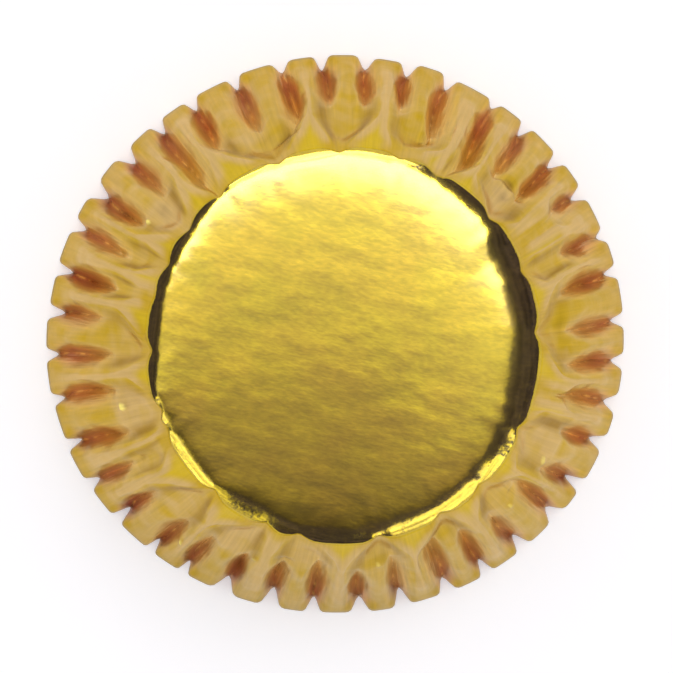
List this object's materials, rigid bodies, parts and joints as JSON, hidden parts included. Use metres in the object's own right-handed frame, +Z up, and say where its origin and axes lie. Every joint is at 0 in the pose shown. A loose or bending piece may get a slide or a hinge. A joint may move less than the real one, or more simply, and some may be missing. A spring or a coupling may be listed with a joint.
{
  "type": "cupcake liner",
  "caption": "Pleated gold-faced paper baking cup, standing on its rim with its flat round base up and its flared wall gathered into tucks and teeth.",
  "frame": {"origin": "middle of the rim's plane, which the liner stands on", "axes": "+Z up from the rim to the base, which faces up; +X along the rim's longer width"},
  "size_m": [0.0784, 0.0758, 0.031],
  "materials": {
    "gold_foil": "metallic gold foil face on paper, fine crinkle"
  },
  "bodies": {
    "root": {"liner": "gold_foil"}
  },
  "joints": []
}
